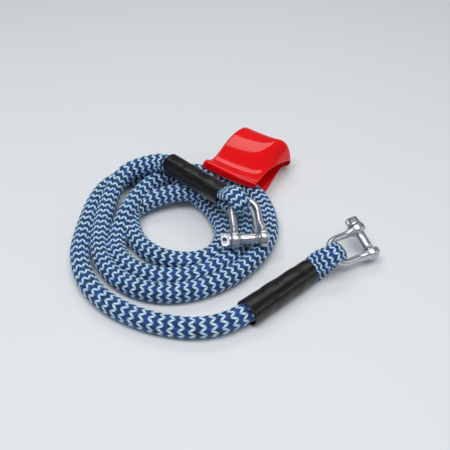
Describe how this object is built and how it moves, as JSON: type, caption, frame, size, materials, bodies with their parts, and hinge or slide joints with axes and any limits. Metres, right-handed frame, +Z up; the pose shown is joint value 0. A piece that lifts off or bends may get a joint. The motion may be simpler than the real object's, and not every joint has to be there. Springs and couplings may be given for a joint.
{
  "type": "tow rope",
  "caption": "Coiled elastic tow rope in blue and white braid with sleeved eyes, screw-pin shackles and a red film flag.",
  "frame": {"origin": "middle of the part's outline, on the surface it lies on", "axes": "+X towards the free shackle and along the longest extent, +Y from the shackles towards the flag, +Z up"},
  "size_m": [0.2912, 0.2676, 0.0557],
  "materials": {
    "braid": "braided, slight sheen",
    "rubber_core": "matte",
    "black_sleeve": "satin",
    "ferrule_steel": "pressed",
    "zinc_plate": "bright zinc plated",
    "red_film": "gloss film"
  },
  "bodies": {
    "rope": {"rope_coil": "braid", "free_run_cover": "braid", "free_run_core": "rubber_core", "top_lead_cover": "braid", "top_lead_core": "rubber_core", "free_sleeve": "black_sleeve", "free_ferrules": "ferrule_steel", "free_eye": "braid", "top_sleeve": "black_sleeve", "top_ferrules": "ferrule_steel", "top_eye": "braid"},
    "free_shackle": {"free_shackle_bow": "zinc_plate"},
    "free_pin": {"free_shackle_pin": "zinc_plate"},
    "top_shackle": {"top_shackle_bow": "zinc_plate"},
    "top_pin": {"top_shackle_pin": "zinc_plate"},
    "flag": {"warning_flag": "red_film"}
  },
  "joints": [
    {"name": "free_shackle_swing", "type": "hinge", "parent": "rope", "child": "free_shackle", "pos_m": [0.09728, -0.04796, 0.02], "axis": [0.4538, -0.7756, -0.4388], "range_deg": [0, 110]},
    {"name": "free_pin_draw", "type": "slide", "parent": "free_shackle", "child": "free_pin", "axis": [-0.4538, 0.7756, 0.4388], "range_m": [0, 0.05]},
    {"name": "top_shackle_swing", "type": "hinge", "parent": "rope", "child": "top_shackle", "pos_m": [0.0176, 0.0012, 0.0436], "axis": [-0.9879, -0.1509, 0.035], "range_deg": [0, 80]},
    {"name": "top_pin_draw", "type": "slide", "parent": "top_shackle", "child": "top_pin", "axis": [-0.9879, -0.1509, 0.035], "range_m": [0, 0.05]},
    {"name": "flag_lift", "type": "hinge", "parent": "rope", "child": "flag", "pos_m": [0.00401, 0.07097, 0.031], "axis": [0.9074, -0.4202, 0], "range_deg": [0, 60]}
  ]
}
